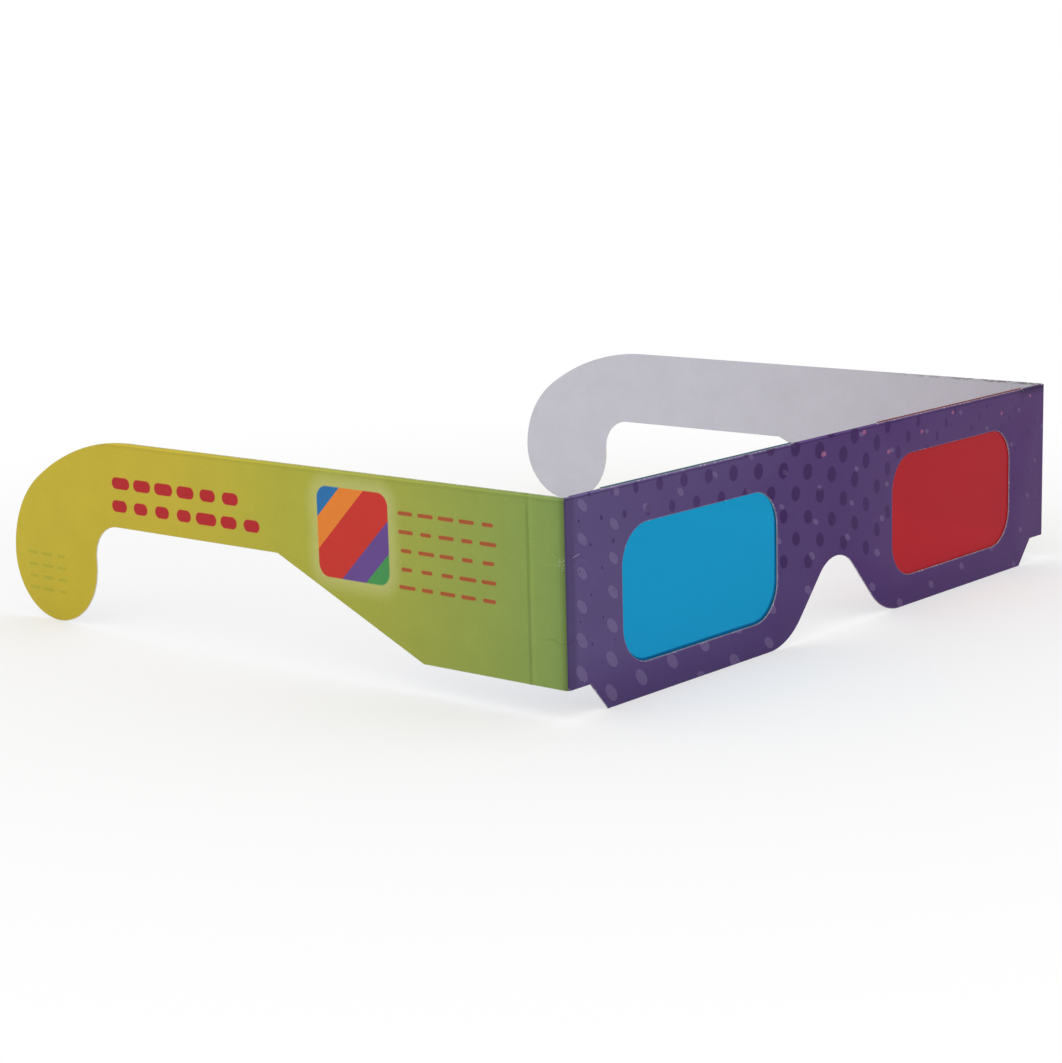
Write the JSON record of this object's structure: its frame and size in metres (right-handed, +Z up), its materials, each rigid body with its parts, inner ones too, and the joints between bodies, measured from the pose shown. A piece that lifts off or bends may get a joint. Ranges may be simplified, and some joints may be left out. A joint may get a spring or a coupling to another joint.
{
  "type": "card 3d glasses",
  "caption": "Folded card viewing glasses with a cyan and a red film lens, a printed front, a nose notch and hooked temples that fold on creases.",
  "frame": {"origin": "centre of the bounding box on the surface that the glasses stand on", "axes": "+Z up, the front faces -Y, the temples run back along +Y, the wearer's right is -X"},
  "size_m": [0.146, 0.1316, 0.0345],
  "materials": {
    "front_print": "satin offset print on card",
    "temple_print": "satin offset print on card, plain inside",
    "cyan_film": "clear coloured film",
    "red_film": "clear coloured film",
    "glue": "dried adhesive"
  },
  "bodies": {
    "front": {"front_panel": "front_print", "back_panel": "front_print", "right_top_fold": "front_print", "bridge_top_fold": "front_print", "left_top_fold": "front_print", "right_lens": "cyan_film", "left_lens": "red_film", "right_glue_pad": "glue", "bridge_glue_pad": "glue", "left_glue_pad": "glue", "right_corner_crease": "front_print", "left_corner_crease": "front_print"},
    "right_strip": {"right_hinge_strip": "temple_print", "right_temple_crease": "temple_print"},
    "right_temple": {"right_temple": "temple_print"},
    "left_strip": {"left_hinge_strip": "temple_print", "left_temple_crease": "temple_print"},
    "left_temple": {"left_temple": "temple_print"}
  },
  "joints": [
    {"name": "right_corner_fold", "type": "hinge", "parent": "front", "child": "right_strip", "pos_m": [-0.0721, -0.0649, 0.0195], "axis": [0, 0, -1], "range_deg": [-90, 70], "deforming": ["right_corner_crease"]},
    {"name": "right_temple_fold", "type": "hinge", "parent": "right_strip", "child": "right_temple", "pos_m": [-0.07285, -0.0584, 0.0195], "axis": [0, 0, -1], "range_deg": [-25, 20], "deforming": ["right_temple_crease"]},
    {"name": "left_corner_fold", "type": "hinge", "parent": "front", "child": "left_strip", "pos_m": [0.0721, -0.0649, 0.0195], "axis": [0, 0, 1], "range_deg": [-90, 50], "deforming": ["left_corner_crease"]},
    {"name": "left_temple_fold", "type": "hinge", "parent": "left_strip", "child": "left_temple", "pos_m": [0.07285, -0.0584, 0.0195], "axis": [0, 0, 1], "range_deg": [-25, 40], "deforming": ["left_temple_crease"]}
  ]
}
